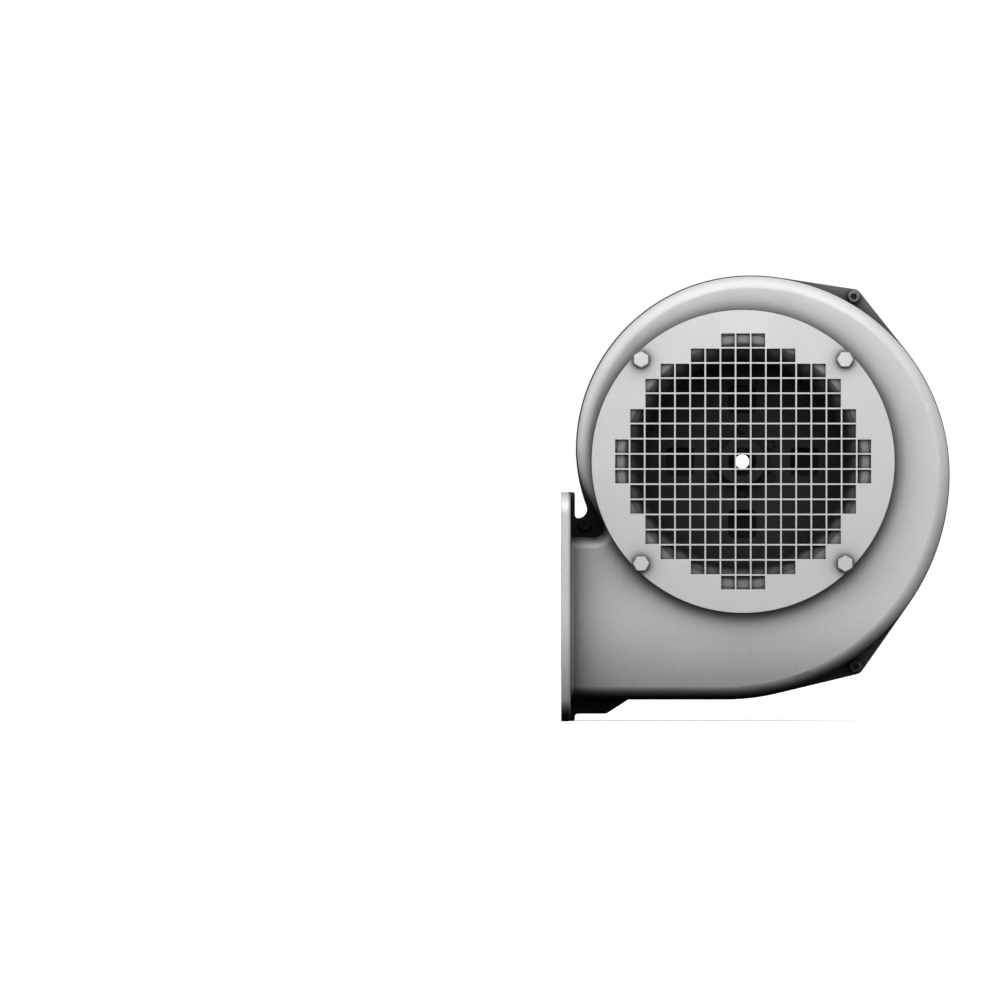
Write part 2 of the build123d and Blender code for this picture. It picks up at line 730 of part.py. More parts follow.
def motor_shaft():
    """Stepped shaft: impeller seat, bearing seats, core seat and cooling-fan seat."""
    drive_shoulder = DRIVE_BEARING_Z - BEARING_W / 2
    rear_shoulder = REAR_BEARING_Z + BEARING_W / 2
    seat_end = REAR_BEARING_Z - BEARING_W / 2 - 1
    shaft = turned(
        (0, SHAFT_END),
        (SHAFT_R - SHAFT_CHAMFER, SHAFT_END),
        (SHAFT_R, SHAFT_END - SHAFT_CHAMFER),
        (SHAFT_R, SEAT_SHOULDER_Z),
        (BEARING_BORE_R, SEAT_SHOULDER_Z - 0.5),
        (BEARING_BORE_R, drive_shoulder),
        (SHAFT_CORE_R, drive_shoulder),
        (SHAFT_CORE_R, rear_shoulder),
        (BEARING_BORE_R, rear_shoulder),
        (BEARING_BORE_R, seat_end),
        (FAN_SEAT_R, seat_end),
        (FAN_SEAT_R, CLIP_Z),
        (CLIP_GROOVE_R, CLIP_Z),
        (CLIP_GROOVE_R, CLIP_Z - CLIP_T),
        (FAN_SEAT_R, CLIP_Z - CLIP_T),
        (FAN_SEAT_R, SHAFT_REAR_END + 1),
        (FAN_SEAT_R - 1, SHAFT_REAR_END),
        (0, SHAFT_REAR_END),
    )
    return shaft - block((-KEY_W / 2, KEY_W / 2), (KEY_SEAT, SHAFT_R + 1), (KEY_BACK, KEY_FRONT))


def rotor_core():
    """Laminated rotor core with round holes for the cage bars."""
    face = Circle(ROTOR_R) - Circle(SHAFT_CORE_R + FIT_GAP)
    face -= [Rot(0, 0, 360 / BAR_COUNT * step) * Pos(BAR_PITCH_R, 0) * Circle(BAR_R + FIT_GAP)
             for step in range(BAR_COUNT)]
    return Pos(0, 0, CORE_REAR) * extrude(face, CORE_FRONT - CORE_REAR)


def rotor_cage():
    """Cast cage: two end rings and the bars through the core."""
    cage = ring(CAGE_RING_OUT_R, CAGE_RING_IN_R, CORE_FRONT, CORE_FRONT + CAGE_RING_T)
    cage += ring(CAGE_RING_OUT_R, CAGE_RING_IN_R, CORE_REAR - CAGE_RING_T, CORE_REAR)
    return cage + around(bar(BAR_R, CORE_REAR - 1, CORE_FRONT + 1, BAR_PITCH_R), BAR_COUNT)


def race(inner_r, outer_r, middle_z):
    """Bearing ring with the ball groove cut into it."""
    blank = ring(outer_r, inner_r, middle_z - BEARING_W / 2, middle_z + BEARING_W / 2)
    return blank - Pos(0, 0, middle_z) * Torus(BALL_PITCH_R, RACE_R)


def bearing_outer_rings():
    """Outer rings, held in the two end shields."""
    inner_r = BALL_PITCH_R + RACE_HALF_GAP
    return group(race(inner_r, BEARING_R - FIT_GAP, z) for z in (DRIVE_BEARING_Z, REAR_BEARING_Z))


def bearing_inner_rings():
    """Inner rings, seated on the shaft."""
    outer_r = BALL_PITCH_R - RACE_HALF_GAP
    return group(race(BEARING_BORE_R + FIT_GAP, outer_r, z) for z in (DRIVE_BEARING_Z, REAR_BEARING_Z))


def bearing_balls(middle_z):
    """Balls of one bearing."""
    return group(around(Pos(BALL_PITCH_R, 0, middle_z) * Sphere(BALL_R), BALL_COUNT))


def bearing_cage(middle_z):
    """Cage of one bearing: a band with a round pocket for each ball."""
    low = middle_z - CAGE_HALF_W
    high = middle_z + CAGE_HALF_W
    cage = ring(BALL_PITCH_R + CAGE_HALF_T, BALL_PITCH_R - CAGE_HALF_T, low, high)
    reach = 2 * RACE_R
    pocket = crossways(RACE_R, BALL_PITCH_R - reach, BALL_PITCH_R + reach, 0, middle_z)
    for pocket in around(pocket, BALL_COUNT):
        cage -= pocket
    return cage


def preload_washer():
    """Dished washer that loads the rear bearing."""
    near = REAR_BEARING_Z - BEARING_W / 2
    return turned(
        (PRELOAD_IN_R, near - 2 * PRELOAD_T),
        (PRELOAD_IN_R, near - 3 * PRELOAD_T),
        (PRELOAD_OUT_R, near - PRELOAD_T),
        (PRELOAD_OUT_R, near),
    )


def shaft_seal():
    """Lip seal in the front of the drive end shield."""
    outer_r = SEAL_R - FIT_GAP
    return turned(
        (outer_r, SEAL_FRONT),
        (outer_r, SEAL_BACK),
        (BEARING_BORE_R + THREAD_GAP, SEAL_BACK),
        (BEARING_BORE_R + THREAD_GAP, SEAL_BACK + SEAL_SKIN_T),
        (SEAL_LIP_R, SEAL_BACK + 1.5 * SEAL_SKIN_T),
        (SEAL_MOUTH_R, SEAL_FRONT),
    )


# ---------------------------------------------------------------- motor body

def shield_lugs(low, high, seat, outward):
    """Four lugs of an end shield, and the cuts for their screws and screw heads."""
    lugs = []
    cuts = []
    for x, y in four_corners(LUG_PITCH_R):
        lugs.append(bar(LUG_R, low, high, x, y))
        cuts.append(bar(M5_CLEARANCE_R, low - 1, high + 1, x, y))
        head_low, head_high = sorted((seat, seat + outward * 4 * M5_HEAD_H))
        cuts.append(bar(M5_HEAD_R + 0.5, head_low, head_high, x, y))
    return lugs, cuts


def drive_end_shield():
    """Flange shield: spigot, flange face, rim, register, bearing pocket and seal pocket."""
    pocket_front = DRIVE_BEARING_Z + BEARING_W / 2
    pocket_rear = DRIVE_BEARING_Z - BEARING_W / 2 - 1
    register_end = HOUSING_FRONT - REGISTER_LENGTH
    shield = turned(
        (SEAL_R, SPIGOT_TOP),
        (SPIGOT_R, SPIGOT_TOP),
        (SPIGOT_R, SHIELD_FACE),
        (MOTOR_FLANGE_R, SHIELD_FACE),
        (MOTOR_FLANGE_R, SHIELD_FACE - SHIELD_FACE_T),
        (SHIELD_R, SHIELD_SHOULDER_Z),
        (SHIELD_R, HOUSING_FRONT),
        (HOUSING_BORE_R - FIT_GAP, HOUSING_FRONT),
        (HOUSING_BORE_R - FIT_GAP, register_end),
        (SHIELD_IN_R, register_end),
        (SHIELD_IN_R, DRIVE_WEB_OUT_Z),
        (BEARING_BOSS_R, DRIVE_WEB_IN_Z),
        (BEARING_BOSS_R, pocket_rear),
        (BEARING_R, pocket_rear),
        (BEARING_R, pocket_front),
        (SHAFT_CORE_R, pocket_front),
        (SHAFT_CORE_R, SEAL_BACK),
        (SEAL_R, SEAL_BACK),
    )
    lugs, cuts = shield_lugs(HOUSING_FRONT, LUG_SEAT_FRONT, LUG_SEAT_FRONT, 1)
    shield += lugs
    for cut in cuts:
        shield -= cut
    for x, y in four_corners(MOTOR_SCREW_R):
        shield -= bar(M6_R + THREAD_GAP, SHIELD_FACE - MOTOR_HOLE_DEPTH, SHIELD_FACE + 1, x, y)
    return shield


def rear_end_shield():
    """Rear shield: rim, register, bearing pocket and four tabs for the cowl screws."""
    pocket_rear = REAR_BEARING_Z - BEARING_W / 2 - 1.5
    pocket_front = REAR_BEARING_Z + BEARING_W / 2 + 0.5
    register_end = HOUSING_REAR + REGISTER_LENGTH
    shield = turned(
        (SHIELD_IN_R, register_end),
        (HOUSING_BORE_R - FIT_GAP, register_end),
        (HOUSING_BORE_R - FIT_GAP, HOUSING_REAR),
        (SHIELD_R, HOUSING_REAR),
        (SHIELD_R, LUG_SEAT_REAR),
        (BEARING_BOSS_R, LUG_SEAT_REAR - REAR_BOSS_T),
        (SHAFT_CORE_R, LUG_SEAT_REAR - REAR_BOSS_T),
        (SHAFT_CORE_R, pocket_rear),
        (BEARING_R, pocket_rear),
        (BEARING_R, pocket_front),
        (BEARING_BOSS_R, pocket_front),
        (BEARING_BOSS_R, REAR_WEB_IN_Z),
        (SHIELD_IN_R, REAR_WEB_OUT_Z),
    )
    lugs, cuts = shield_lugs(LUG_SEAT_REAR, HOUSING_REAR, LUG_SEAT_REAR, -1)
    shield += lugs
    tab = block((TAB_IN_R, COWL_R), (-TAB_HALF_W, TAB_HALF_W), (LUG_SEAT_REAR, HOUSING_REAR))
    tab &= bar(COWL_R - COWL_T - THREAD_GAP, LUG_SEAT_REAR, HOUSING_REAR)
    shield += around(tab, 4)
    for cut in cuts:
        shield -= cut
    for hole in around(crossways(M4_R + THREAD_GAP, TAB_IN_R + 2, COWL_R, 0, COWL_SCREW_Z), 4):
        shield -= hole
    return shield


def crossways(radius, low, high, y, z):
    """Round bar parallel to x."""
    return Pos((low + high) / 2, y, z) * Rot(0, 90, 0) * Cylinder(radius, high - low)


def motor_housing():
    """Finned housing with four screw bosses and the pad under the terminal box."""
    length = HOUSING_FRONT - HOUSING_REAR
    fin = Pos(FIN_R / 2, 0) * Rectangle(FIN_R, FIN_T)
    face = Circle(HOUSING_R)
    face += [Rot(0, 0, 360 / FIN_COUNT * step) * fin for step in range(FIN_COUNT)]
    face += [Pos(x, y) * Circle(LUG_R) for x, y in four_corners(LUG_PITCH_R)]
    body = Pos(0, 0, HOUSING_REAR) * extrude(face, length)
    pad_span = (-BOX_PAD_HALF_X, BOX_PAD_HALF_X)
    body += block(pad_span, (0, BOX_PAD_TOP), (BOX_PAD_REAR, BOX_PAD_FRONT))
    body -= block(pad_span, (BOX_PAD_TOP, 2 * FIN_R), (HOUSING_REAR - 1, HOUSING_FRONT + 1))
    body -= bar(HOUSING_BORE_R, HOUSING_REAR - 1, HOUSING_FRONT + 1)
    for x, y in four_corners(LUG_PITCH_R):
        body -= bar(M5_R + THREAD_GAP, HOUSING_FRONT - SHIELD_HOLE_DEPTH, HOUSING_FRONT + 1, x, y)
        body -= bar(M5_R + THREAD_GAP, HOUSING_REAR - 1, HOUSING_REAR + SHIELD_HOLE_DEPTH, x, y)
    body -= lead_opening(HOUSING_BORE_R - 10, BOX_PAD_TOP + 1)
    for x, z in box_screw_places():
        body -= upright(M5_R + THREAD_GAP, BOX_PAD_TOP - BOX_HOLE_DEPTH, BOX_PAD_TOP + 1, x, z)
    return body


def lead_opening(low, high):
    """Opening through which the winding leads reach the terminal box."""
    return block((-LEAD_HOLE_HALF_X, LEAD_HOLE_HALF_X), (low, high), (LEAD_HOLE_REAR, LEAD_HOLE_FRONT))


def box_screw_places():
    """Positions of the screws that hold the terminal box to its pad."""
    return [(x, z) for x in (-BOX_SCREW_X, BOX_SCREW_X) for z in BOX_SCREW_Z]


def motor_gasket():
    """Gasket between the casing pad and the motor flange."""
    gasket = ring(MOTOR_FLANGE_R, SPIGOT_R + 1, SHIELD_FACE, PAD_FACE)
    for x, y in four_corners(MOTOR_SCREW_R):
        gasket -= bar(M6_CLEARANCE_R, SHIELD_FACE - 1, PAD_FACE + 1, x, y)
    return gasket


def motor_screws():
    """Cap screws that hold the motor, put in from inside the casing."""
    screw = cap_screw(M6_R, M6_CAP_R, M6_CAP_H, M6_SOCKET_R, M6_CAP_LENGTH)
    return group(Pos(x, y, WALL - CASE_HALF) * screw for x, y in four_corners(MOTOR_SCREW_R))


def shield_screws():
    """Cap screws of both end shields."""
    screw = cap_screw(M5_R, M5_HEAD_R, M5_HEAD_H, M5_SOCKET_R, SHIELD_SCREW_LENGTH)
    places = four_corners(LUG_PITCH_R)
    front = [Pos(x, y, LUG_SEAT_FRONT) * screw for x, y in places]
    rear = [Pos(x, y, LUG_SEAT_REAR) * Rot(180, 0, 0) * screw for x, y in places]
    return group(front + rear)


def stator_core():
    """Laminated stator core with open slots."""
    mouth_length = SLOT_IN_R - STATOR_BORE_R + 2
    mouth = Pos((STATOR_BORE_R + SLOT_IN_R) / 2, 0) * Rectangle(mouth_length, SLOT_MOUTH_W)
    slot_length = SLOT_OUT_R - SLOT_IN_R
    slot = mouth + Pos((SLOT_IN_R + SLOT_OUT_R) / 2, 0) * Rectangle(slot_length, SLOT_W)
    face = Circle(STATOR_R) - Circle(STATOR_BORE_R)
    face -= [Rot(0, 0, 360 / SLOT_COUNT * step) * slot for step in range(SLOT_COUNT)]
    return Pos(0, 0, CORE_REAR) * extrude(face, CORE_FRONT - CORE_REAR)


def stator_windings():
    """Varnished winding: coil sides in the slots and the two overhangs."""
    front = ring(SLOT_OUT_R, SLOT_IN_R, CORE_FRONT + COIL_GAP, COIL_FRONT)
    rear = ring(SLOT_OUT_R, SLOT_IN_R, COIL_REAR, CORE_REAR - COIL_GAP)
    front = fillet(front.faces().sort_by(Axis.Z)[-1].edges(), COIL_EDGE_R)
    rear = fillet(rear.faces().sort_by(Axis.Z)[0].edges(), COIL_EDGE_R)
    side_x = (SLOT_IN_R + COIL_GAP, SLOT_OUT_R - COIL_GAP)
    side = block(side_x, (COIL_GAP - SLOT_W / 2, SLOT_W / 2 - COIL_GAP), (CORE_REAR - 1, CORE_FRONT + 1))
    return front + rear + around(side, SLOT_COUNT)


def cooling_fan():
    """Moulded radial fan on the rear of the shaft."""
    fan = bar(FAN_R, FAN_FRONT - FAN_DISC_T, FAN_FRONT) + bar(FAN_HUB_R, FAN_REAR, FAN_FRONT)
    blade = block((FAN_HUB_R - 2, FAN_R), (-FAN_BLADE_T / 2, FAN_BLADE_T / 2), (FAN_REAR, FAN_FRONT - 1))
    fan += around(blade, FAN_BLADE_COUNT, 180 / FAN_BLADE_COUNT)
    return fan - bar(FAN_SEAT_R + FIT_GAP, FAN_REAR - 1, FAN_FRONT + 1)


def fan_circlip():
    """Retaining ring behind the cooling fan, open on one side."""
    clip = ring(CLIP_R, CLIP_GROOVE_R + FIT_GAP, CLIP_Z - CLIP_T + THREAD_GAP, CLIP_Z - THREAD_GAP)
    mouth = (-CLIP_MOUTH_HALF_W, CLIP_MOUTH_HALF_W)
    return clip - block((0, CLIP_R + 1), mouth, (CLIP_Z - 2 * CLIP_T, CLIP_Z + CLIP_T))


def fan_cowl():
    """Sheet cowl over the cooling fan, slotted at the back."""
    shell = fillet(bar(COWL_R, COWL_REAR, COWL_FRONT).edges().sort_by(Axis.Z)[0], COWL_EDGE_R)
    inner = bar(COWL_R - COWL_T, COWL_REAR + COWL_T, COWL_FRONT + 1)
    inner = fillet(inner.edges().sort_by(Axis.Z)[0], COWL_EDGE_R - COWL_T)
    cowl = shell - inner
    length = COWL_SLOT_OUT_R - COWL_SLOT_IN_R
    long_slot = Pos((COWL_SLOT_OUT_R + COWL_SLOT_IN_R) / 2, 0) * SlotOverall(length, COWL_SLOT_W)
    slots = [Rot(0, 0, 360 / COWL_SLOT_COUNT * step) * long_slot for step in range(0, COWL_SLOT_COUNT, 2)]
    short_slot = Pos(COWL_SLOT_OUT_R - length / 4, 0) * SlotOverall(length / 2, COWL_SLOT_W)
    slots += [Rot(0, 0, 360 / COWL_SLOT_COUNT * step) * short_slot for step in range(1, COWL_SLOT_COUNT, 2)]
    cowl -= Pos(0, 0, COWL_REAR - 1) * extrude(Sketch() + slots, 3 * COWL_T)
    for hole in around(crossways(M4_CLEARANCE_R, TAB_IN_R + 2, COWL_R + 1, 0, COWL_SCREW_Z), 4):
        cowl -= hole
    return cowl


def pan_screw(length):
    """Pan-head cross-slot screw standing on z = 0, with its shank downwards."""
    head = fillet(bar(M4_HEAD_R, 0, M4_HEAD_H).edges().sort_by(Axis.Z)[-1], M4_HEAD_EDGE_R)
    across = (-M4_CROSS_HALF_W, M4_CROSS_HALF_W)
    deep = (M4_HEAD_H - M4_CROSS_DEPTH, M4_HEAD_H + 1)
    slot = block((-M4_CROSS_HALF_L, M4_CROSS_HALF_L), across, deep)
    return head + bar(M4_R, -length, 0) - slot - Rot(0, 0, 90) * slot


def cowl_screws():
    """Screws holding the cowl to the rear shield's tabs."""
    screw = Pos(COWL_R, 0, COWL_SCREW_Z) * Rot(0, 90, 0) * pan_screw(COWL_SCREW_LENGTH)
    return group(around(screw, 4))


# ---------------------------------------------------------------- terminal box

def box_outline(half_x, front, rear, corner_r):
    """Rounded rectangle in the plane of the box's floor."""
    outline = RectangleRounded(2 * half_x, front - rear, corner_r)
    return Plane.XZ * Pos(0, (front + rear) / 2) * outline


def box_slab(half_x, front, rear, corner_r, low, high):
    """Rounded slab between two heights."""
    return Pos(0, low, 0) * extrude(box_outline(half_x, front, rear, corner_r), low - high)


def box_inside(wall, low, high):
    """Inside of the terminal box between two heights, `wall` in from its outline."""
    return box_slab(BOX_HALF_X - wall, BOX_FRONT - wall, BOX_REAR + wall, BOX_CORNER_R / 2, low, high)


def corner_places():
    """Positions of the four lid screws."""
    x = BOX_HALF_X - LID_SCREW_INSET
    z = BOX_LENGTH / 2 - LID_SCREW_INSET
    return [(x, BOX_MID_Z + z), (-x, BOX_MID_Z + z), (-x, BOX_MID_Z - z), (x, BOX_MID_Z - z)]


def terminal_box():
    """Open box with screw posts in its corners."""
    box = box_slab(BOX_HALF_X, BOX_FRONT, BOX_REAR, BOX_CORNER_R, BOX_BOTTOM, BOX_TOP)
    box -= box_inside(BOX_WALL, BOX_BOTTOM + BOX_WALL, BOX_TOP + 1)
    for x, z in corner_places():
        box += upright(LID_POST_R, BOX_BOTTOM, BOX_TOP, x, z)
    for x, z in corner_places():
        box -= upright(M4_R + THREAD_GAP, BOX_TOP - LID_SCREW_LENGTH, BOX_TOP + 1, x, z)
    box -= lead_opening(BOX_BOTTOM - 1, BOX_BOTTOM + BOX_WALL + 1)
    for x, z in box_screw_places():
        box -= upright(M5_CLEARANCE_R, BOX_BOTTOM - 1, BOX_BOTTOM + BOX_WALL + 1, x, z)
    box -= crossways(GLAND_THREAD_R + THREAD_GAP, BOX_HALF_X - 2 * BOX_WALL, BOX_HALF_X + 1, GLAND_Y, GLAND_Z)
    earth_hole = (BOX_BOTTOM + EARTH_HOLE_FLOOR, BOX_BOTTOM + 2 * BOX_WALL)
    box -= upright(M4_R + THREAD_GAP, *earth_hole, EARTH_X, EARTH_Z)
    for hole in rating_rivet_holes():
        box -= hole
    return box


def box_gasket():
    """Gasket under the terminal box."""
    gasket = box_slab(BOX_PAD_HALF_X, BOX_PAD_FRONT, BOX_PAD_REAR, 1.0, BOX_PAD_TOP, BOX_BOTTOM)
    gasket -= lead_opening(BOX_PAD_TOP - 1, BOX_BOTTOM + 1)
    for x, z in box_screw_places():
        gasket -= upright(M5_CLEARANCE_R, BOX_PAD_TOP - 1, BOX_BOTTOM + 1, x, z)
    return gasket


def box_screws():
    """Cap screws holding the terminal box to its pad."""
    screw = cap_screw(M5_R, M5_HEAD_R, M5_HEAD_H, M5_SOCKET_R, BOX_SCREW_LENGTH)
    return group(Pos(x, BOX_BOTTOM + BOX_WALL, z) * Rot(-90, 0, 0) * screw for x, z in box_screw_places())


def lid_gasket():
    """Gasket under the lid, following the box's wall."""
    gasket = box_slab(BOX_HALF_X, BOX_FRONT, BOX_REAR, BOX_CORNER_R, BOX_TOP, BOX_TOP + GASKET_T)
    gasket -= box_inside(BOX_WALL, BOX_TOP - 1, BOX_TOP + GASKET_T + 1)
    for x, z in corner_places():
        gasket += upright(LID_POST_R, BOX_TOP, BOX_TOP + GASKET_T, x, z)
    for x, z in corner_places():
        gasket -= upright(M4_CLEARANCE_R, BOX_TOP - 1, BOX_TOP + GASKET_T + 1, x, z)
    return gasket


def terminal_lid():
    """Lid of the terminal box with a rounded upper edge."""
    bottom = BOX_TOP + GASKET_T
    lid = box_slab(BOX_HALF_X, BOX_FRONT, BOX_REAR, BOX_CORNER_R, bottom, LID_TOP)
    lid = fillet(lid.faces().sort_by(Axis.Y)[-1].edges(), LID_EDGE_R)
    lid -= box_inside(LID_HOLLOW_INSET, bottom - 1, bottom + LID_HOLLOW)
    for x, z in corner_places():
        lid -= upright(M4_CLEARANCE_R, bottom - 1, LID_TOP + 1, x, z)
    return lid


def lid_screws():
    """Screws of the lid."""
    screw = pan_screw(LID_SCREW_LENGTH)
    return group(Pos(x, LID_TOP, z) * Rot(-90, 0, 0) * screw for x, z in corner_places())


def stud_places():
    """Positions of the six terminals, row by row."""
    return [(STUD_PITCH_X * column, z) for z in STUD_ROWS_Z for column in (-1, 0, 1)]


def terminal_board():
    """Moulded board that carries the terminals."""
    floor = BOX_BOTTOM + BOX_WALL
    board = block((-BOARD_HALF_X, BOARD_HALF_X), (floor, BOARD_TOP), (BOARD_REAR, BOARD_FRONT))
    board = chamfer(board.faces().sort_by(Axis.Y)[-1].edges(), 1)
    for x, z in stud_places():
        board -= upright(M4_R + FIT_GAP, floor + STUD_FOOT, BOARD_TOP + 1, x, z)
    return board


def terminal_studs():
    """Threaded studs of the board."""
    floor = BOX_BOTTOM + BOX_WALL
    return group(upright(M4_R, floor + STUD_FOOT, STUD_TOP, x, z) for x, z in stud_places())


def terminal_links():
    """Three flat links, each joining the two terminals of a column."""
    links = []
    low_z = min(STUD_ROWS_Z)
    high_z = max(STUD_ROWS_Z)
    for column in (-1, 0, 1):
        x = STUD_PITCH_X * column
        span_z = (low_z - LINK_HALF_W, high_z + LINK_HALF_W)
        link = block((x - LINK_HALF_W, x + LINK_HALF_W), (BOARD_TOP, BOARD_TOP + LINK_T), span_z)
        for z in STUD_ROWS_Z:
            link -= upright(M4_CLEARANCE_R, BOARD_TOP - 1, BOARD_TOP + LINK_T + 1, x, z)
        links.append(link)
    return group(links)


def terminal_nuts():
    """Nuts on the studs."""
    low = BOARD_TOP + LINK_T
    nut = hex_bar(M4_NUT_AF, 0, M4_NUT_H) - bar(M4_R + THREAD_GAP, -1, M4_NUT_H + 1)
    return group(Pos(x, low, z) * Rot(-90, 0, 0) * nut for x, z in stud_places())


def lead_wires():
    """Three leads from the front overhang of the winding up to the first row of terminals."""
    leads = []
    stop_z = max(STUD_ROWS_Z) + LINK_HALF_W
    for column in (-1, 0, 1):
        start = (LEAD_PITCH_X * column, SLOT_OUT_R, LEAD_Z)
        corner = (LEAD_PITCH_X * column, LEAD_Y, LEAD_Z)
        end = (LEAD_PITCH_X * column, LEAD_Y, stop_z + LEAD_R)
        path = FilletPolyline(start, corner, end, radius=LEAD_BEND_R)
        section = Plane(start, z_dir=(0, 1, 0)) * Circle(LEAD_R)
        leads.append(sweep(section, path))
    return group(leads)


def earth_screw():
    """Earth terminal in the box floor."""
    screw = pan_screw(EARTH_SCREW_LENGTH)
    return Pos(EARTH_X, BOX_BOTTOM + BOX_WALL, EARTH_Z) * Rot(-90, 0, 0) * screw


def along_x(piece):
    """Turn a gland piece drawn up z so that it points out of the box's right wall."""
    return Pos(BOX_HALF_X, GLAND_Y, GLAND_Z) * Rot(0, 90, 0) * piece


def gland_body():
    """Gland body: thread through the wall, hexagon outside, threaded spout."""
    body = hex_bar(GLAND_AF, 0, GLAND_HEX_T) + bar(GLAND_THREAD_R, -GLAND_THREAD_L, GLAND_HEX_T)
    body += bar(GLAND_SPOUT_R, GLAND_HEX_T, GLAND_SPOUT_END)
    return along_x(body - bar(GLAND_BORE_R, -GLAND_THREAD_L - 1, GLAND_SPOUT_END + 1))


def gland_seal():
    """Rubber sleeve squeezed round the cable."""
    return along_x(ring(GLAND_BORE_R - FIT_GAP, CABLE_R, GLAND_SEAL_START, GLAND_SEAL_END))


def gland_nut():
    """Domed clamping nut."""
    dome = turned(
        (0, 0),
        (GLAND_NUT_AF, 0),
        (GLAND_NUT_AF, GLAND_NUT_SHOULDER),
        (GLAND_THREAD_R, GLAND_NUT_END),
        (0, GLAND_NUT_END),
    )
    nut = hex_bar(GLAND_NUT_AF, GLAND_NUT_START, GLAND_NUT_END) & dome
    nut -= bar(GLAND_SPOUT_R + THREAD_GAP, GLAND_HEX_T, GLAND_SPOUT_END + 2 * THREAD_GAP)
    nut -= bar(GLAND_BORE_R + THREAD_GAP, GLAND_SPOUT_END, GLAND_SEAL_END + 2 * THREAD_GAP)
    return along_x(nut - bar(CABLE_R, 0, GLAND_NUT_END + 1))


def gland_locknut():
    """Flat nut on the gland's thread inside the box."""
    nut = hex_bar(GLAND_AF, -BOX_WALL - GLAND_LOCKNUT_T, -BOX_WALL)
    return along_x(nut - bar(GLAND_THREAD_R + THREAD_GAP, -GLAND_THREAD_L, 0))


def rating_rivet_places():
    """Positions of the two rivets of the rating plate."""
    return [BOX_MID_Z - RATING_RIVET_HALF_PITCH, BOX_MID_Z + RATING_RIVET_HALF_PITCH]


def rating_rivet_holes():
    """Holes of the two rivets, through the plate and into the box's left wall."""
    hole = Rot(0, 90, 0) * Cylinder(RATING_RIVET_R + THREAD_GAP, BOX_WALL)
    return [Pos(-BOX_HALF_X, GLAND_Y, z) * hole for z in rating_rivet_places()]


def rating_plate():
    """Blank plate on the left wall of the terminal box."""
    outside = (-BOX_HALF_X - RATING_PLATE_T, -BOX_HALF_X)
    height_span = (GLAND_Y - RATING_PLATE_HALF_H, GLAND_Y + RATING_PLATE_HALF_H)
    plate = block(outside, height_span, (BOX_MID_Z - RATING_PLATE_HALF_L, BOX_MID_Z + RATING_PLATE_HALF_L))
    plate = fillet(plate.edges().filter_by(Axis.X), RATING_PLATE_CORNER_R)
    for hole in rating_rivet_holes():
        plate -= hole
    return plate


def rating_rivets():
    """Drive rivets of the rating plate."""
    rivet = turned(
        (0, -RATING_RIVET_R),
        (RATING_RIVET_R, -RATING_RIVET_R),
        (RATING_RIVET_R, RATING_PLATE_T),
        (RATING_RIVET_HEAD_R, RATING_PLATE_T),
        (0.6 * RATING_RIVET_HEAD_R, 2 * RATING_PLATE_T),
        (0, RATING_RIVET_TOP),
    )
    return group(Pos(-BOX_HALF_X, GLAND_Y, z) * Rot(0, -90, 0) * rivet for z in rating_rivet_places())


# ---------------------------------------------------------------- write the pieces

half = casing_half()

pieces = {
    "front_casing": front_casing(half),
    "rear_casing": rear_casing(half),
    "casing_gasket": casing_gasket(),
    "case_screws": case_screws(),
    "case_washers": case_washers(),
    "case_nuts": case_nuts(),
    "inlet_guard": inlet_guard(),
    "guard_washers": guard_washers(),
    "guard_bolts": guard_bolts(),
    "inlet_nozzle": inlet_nozzle(),
    "impeller_back_disc": impeller_back_disc(),
    "impeller_front_ring": impeller_front_ring(),
    "impeller_blades": impeller_blades(),
    "impeller_hub": impeller_hub(),
    "hub_rivets": hub_rivets(),
    "impeller_key": impeller_key(),
    "hub_set_screw": hub_set_screw(),
    "motor_shaft": motor_shaft(),
    "rotor_core": rotor_core(),
    "rotor_cage": rotor_cage(),
    "bearing_outer_rings": bearing_outer_rings(),
    "bearing_inner_rings": bearing_inner_rings(),
    "drive_bearing_balls": bearing_balls(DRIVE_BEARING_Z),
    "drive_bearing_cage": bearing_cage(DRIVE_BEARING_Z),
    "rear_bearing_balls": bearing_balls(REAR_BEARING_Z),
    "rear_bearing_cage": bearing_cage(REAR_BEARING_Z),
    "preload_washer": preload_washer(),
    "shaft_seal": shaft_seal(),
    "motor_gasket": motor_gasket(),
    "motor_screws": motor_screws(),
    "drive_end_shield": drive_end_shield(),
    "motor_housing": motor_housing(),
    "rear_end_shield": rear_end_shield(),
    "shield_screws": shield_screws(),
    "stator_core": stator_core(),
    "stator_windings": stator_windings(),
    "cooling_fan": cooling_fan(),
    "fan_circlip": fan_circlip(),
    "fan_cowl": fan_cowl(),
    "cowl_screws": cowl_screws(),
    "terminal_box": terminal_box(),
    "box_gasket": box_gasket(),
    "box_screws": box_screws(),
    "terminal_lid": terminal_lid(),
    "lid_gasket": lid_gasket(),
    "lid_screws": lid_screws(),
    "terminal_board": terminal_board(),
    "terminal_studs": terminal_studs(),
    "terminal_links": terminal_links(),
    "terminal_nuts": terminal_nuts(),
    "lead_wires": lead_wires(),
    "earth_screw": earth_screw(),
    "gland_body": gland_body(),
    "gland_seal": gland_seal(),
    "gland_nut": gland_nut(),
    "gland_locknut": gland_locknut(),
    "rating_plate": rating_plate(),
    "rating_rivets": rating_rivets(),
}

os.makedirs("parts", exist_ok=True)
for node, piece in pieces.items():
    export_step(place(piece), f"parts/{node}.step")
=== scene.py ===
from math import cos, radians

